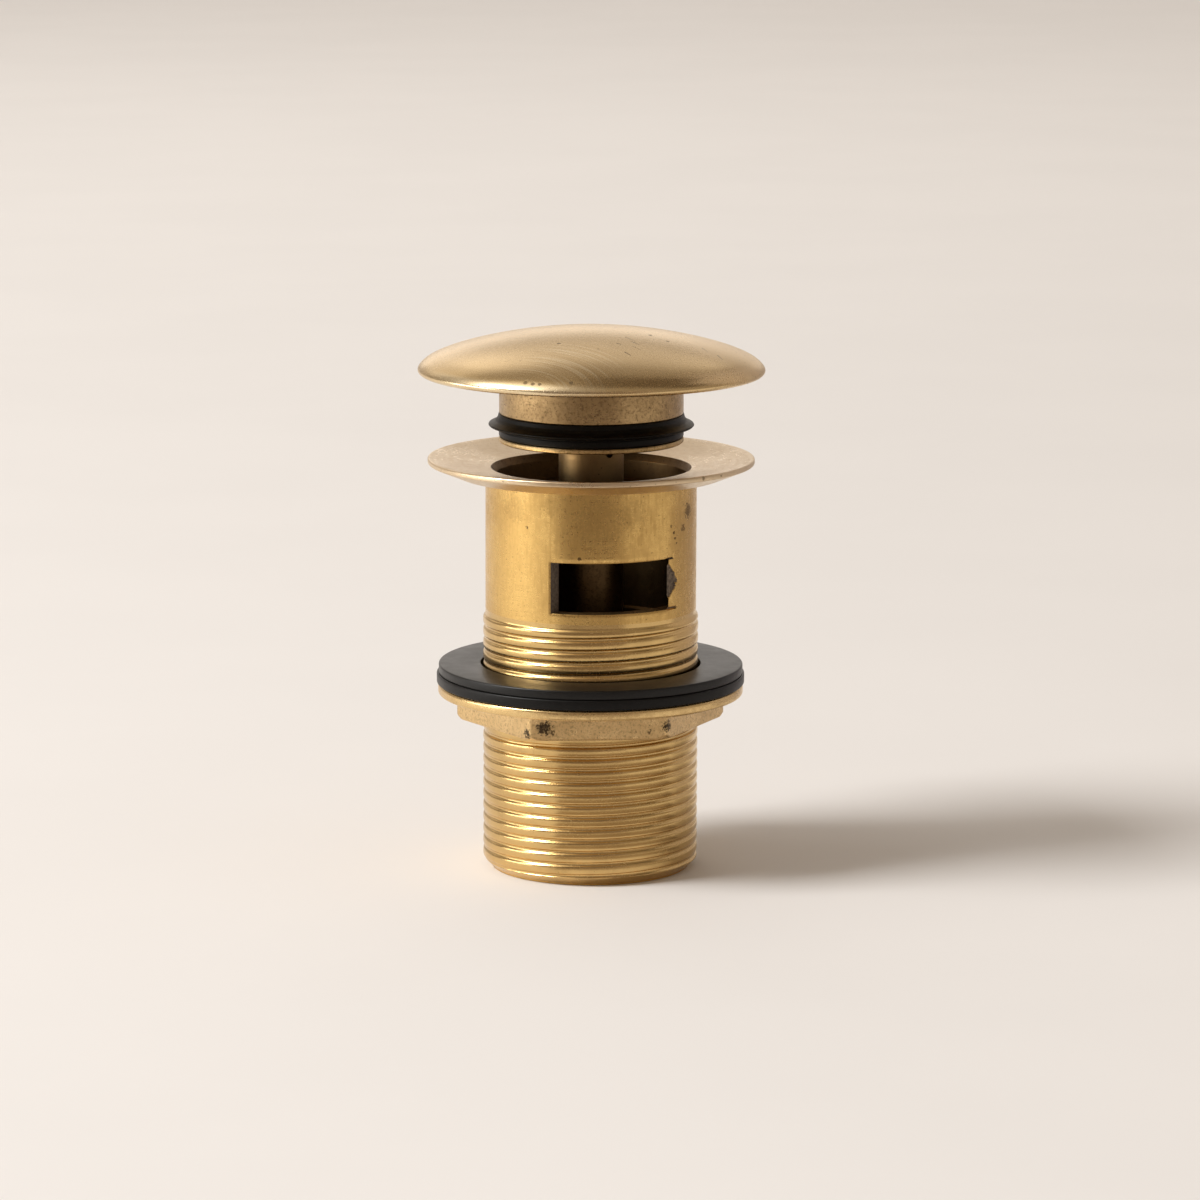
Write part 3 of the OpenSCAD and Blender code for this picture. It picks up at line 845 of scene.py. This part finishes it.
def sweep():
    """Floor that curves up into a low backdrop, in the camera's own direction."""
    prof = [(-4.0, 0.0), (-1.0, 0.0), (2.6, 0.0)]
    prof += [(2.6 + 0.7 * math.sin(a), 0.7 - 0.7 * math.cos(a)) for a in np.radians(np.linspace(6, 90, 15))]
    prof.append((3.3, 1.4))
    verts, faces = [], []
    for x in np.linspace(-4, 4, 7):
        for d, z in prof:
            p = right * float(x) + ahead * d
            verts.append((p.x, p.y, z))
    n = len(prof)
    for i in range(6):
        for j in range(n - 1):
            faces.append((i * n + j, i * n + j + 1, (i + 1) * n + j + 1, (i + 1) * n + j))
    o = finish_mesh("studio_floor", verts, faces, 0)
    o.data.materials.append(stage_mat("floor_pale", (0.828, 0.808, 0.792)))
    return o


floor = sweep()


def card(name, az0, az1, dist, z0, z1, col):
    """Curved card that only shows in reflections, as a studio flag does."""
    verts, faces = [], []
    n = 16
    for i in range(n + 1):
        a = AZ + math.radians(az0 + (az1 - az0) * i / n)
        for z in (z0, z1):
            verts.append((math.sin(a) * dist, -math.cos(a) * dist, z))
    for i in range(n):
        faces.append((2 * i, 2 * i + 2, 2 * i + 3, 2 * i + 1))
    o = finish_mesh(name, verts, faces, 0)
    o.data.materials.append(stage_mat(name + "_dull", col))
    o.visible_camera = o.visible_diffuse = o.visible_shadow = False
    return o


card("flag_front", -34, 36, 0.225, 0.001, 0.28, (0.335, 0.29, 0.265))
card("flag_right", 95, 146, 0.165, 0.001, 0.30, (0.38, 0.352, 0.355))


def apron(name, az0, az1, r0, r1, col):
    """Flat card just over the floor that only shows in reflections."""
    verts, faces = [], []
    n = 20
    for i in range(n + 1):
        a = AZ + math.radians(az0 + (az1 - az0) * i / n)
        for r in (r0, r1):
            verts.append((math.sin(a) * r, -math.cos(a) * r, 0.0004))
    for i in range(n):
        faces.append((2 * i, 2 * i + 2, 2 * i + 3, 2 * i + 1))
    o = finish_mesh(name, verts, faces, 0)
    o.data.materials.append(stage_mat(name + "_dull", col))
    o.visible_camera = o.visible_diffuse = o.visible_shadow = False
    return o


apron("apron_near", -30, 85, 0.036, 0.112, (0.36, 0.305, 0.25))


def ceiling(name, r0, r1, a0, a1, z, col):
    """Level card overhead that only shows in reflections."""
    verts = [right * r + ahead * a + Vector((0, 0, z)) for r, a in ((r0, a0), (r1, a0), (r1, a1), (r0, a1))]
    o = finish_mesh(name, verts, [(0, 3, 2, 1)], 0)
    o.data.materials.append(stage_mat(name + "_dull", col))
    o.visible_camera = o.visible_diffuse = o.visible_shadow = False
    return o


ceiling("flag_top", -0.03, 0.90, -0.20, 0.42, 0.80, (0.18, 0.148, 0.115))


def area(name, az, el, dist, size, power, color, at=(0, 0, 0.06), spread=180):
    """Softbox at an angle counted from the camera's direction: minus is to its left."""
    a = AZ + math.radians(az)
    e = math.radians(el)
    d = Vector((math.sin(a) * math.cos(e), -math.cos(a) * math.cos(e), math.sin(e)))
    li = bpy.data.lights.new(name, "AREA")
    li.shape = "RECTANGLE"
    li.size, li.size_y = size
    li.energy = power
    li.color = color
    li.spread = math.radians(spread)
    o = bpy.data.objects.new(name, li)
    o.location = Vector(at) + d * dist
    o.rotation_euler = d.to_track_quat("Z", "Y").to_euler()
    o.visible_camera = False
    scene.collection.objects.link(o)
    return o


area("key_left", -72, 42, 3.0, (1.1, 1.1), 77.5, (1.0, 0.99, 0.98))
area("fill_left_low", -84, 6, 1.0, (0.62, 0.22), 2.1, (1.0, 0.985, 0.965))
area("key_wrap", -80, 58, 2.4, (1.5, 1.5), 6.0, (1.0, 0.97, 0.93)).data.diffuse_factor = 0.0
area("back_left", -153, 31, 2.2, (1.3, 1.0), 2.3, (1.0, 0.96, 0.91))
area("back_mid", 180, 11, 3.1, (2.2, 0.6), 3.4, (1.0, 0.96, 0.91))
area("back_high", 180, 33, 2.6, (1.5, 0.6), 1.5, (1.0, 0.96, 0.91))
area("far_floor", 0, 72, 2.3, (2.0, 1.0), 1.2, (1.0, 0.96, 0.91), at=tuple(ahead * 1.6), spread=62)

world = bpy.data.worlds.new("studio")
world.use_nodes = True
wt = world.node_tree
bg = wt.nodes["Background"]
bg.inputs[0].default_value = (1.0, 0.85, 0.70, 1)
bg.inputs[1].default_value = 0.355
seen = wt.nodes.new("ShaderNodeBackground")
seen.inputs[0].default_value = (0.84, 0.79, 0.74, 1)
lp = wt.nodes.new("ShaderNodeLightPath")
wm = wt.nodes.new("ShaderNodeMixShader")
wt.links.new(lp.outputs["Is Camera Ray"], wm.inputs[0])
wt.links.new(bg.outputs[0], wm.inputs[1])
wt.links.new(seen.outputs[0], wm.inputs[2])
wt.links.new(wm.outputs[0], wt.nodes["World Output"].inputs[0])
scene.world = world

cam_d = bpy.data.cameras.new("camera")
cam_d.sensor_width = 36
cam_d.lens = 5.135 * DIST * 1000 / 1200 * 36
cam_d.clip_start = 0.05
cam_d.clip_end = 20
cam = bpy.data.objects.new("camera", cam_d)
cam.location = Vector((0, 0, Z0)) + right * 0.0018 + back * DIST
cam.rotation_euler = (Matrix.Rotation(math.radians(0.2), 3, back) @ back.to_track_quat("Z", "Y").to_matrix()).to_euler()
scene.collection.objects.link(cam)
scene.camera = cam

scene.view_settings.view_transform = "Standard"
scene.view_settings.look = "None"
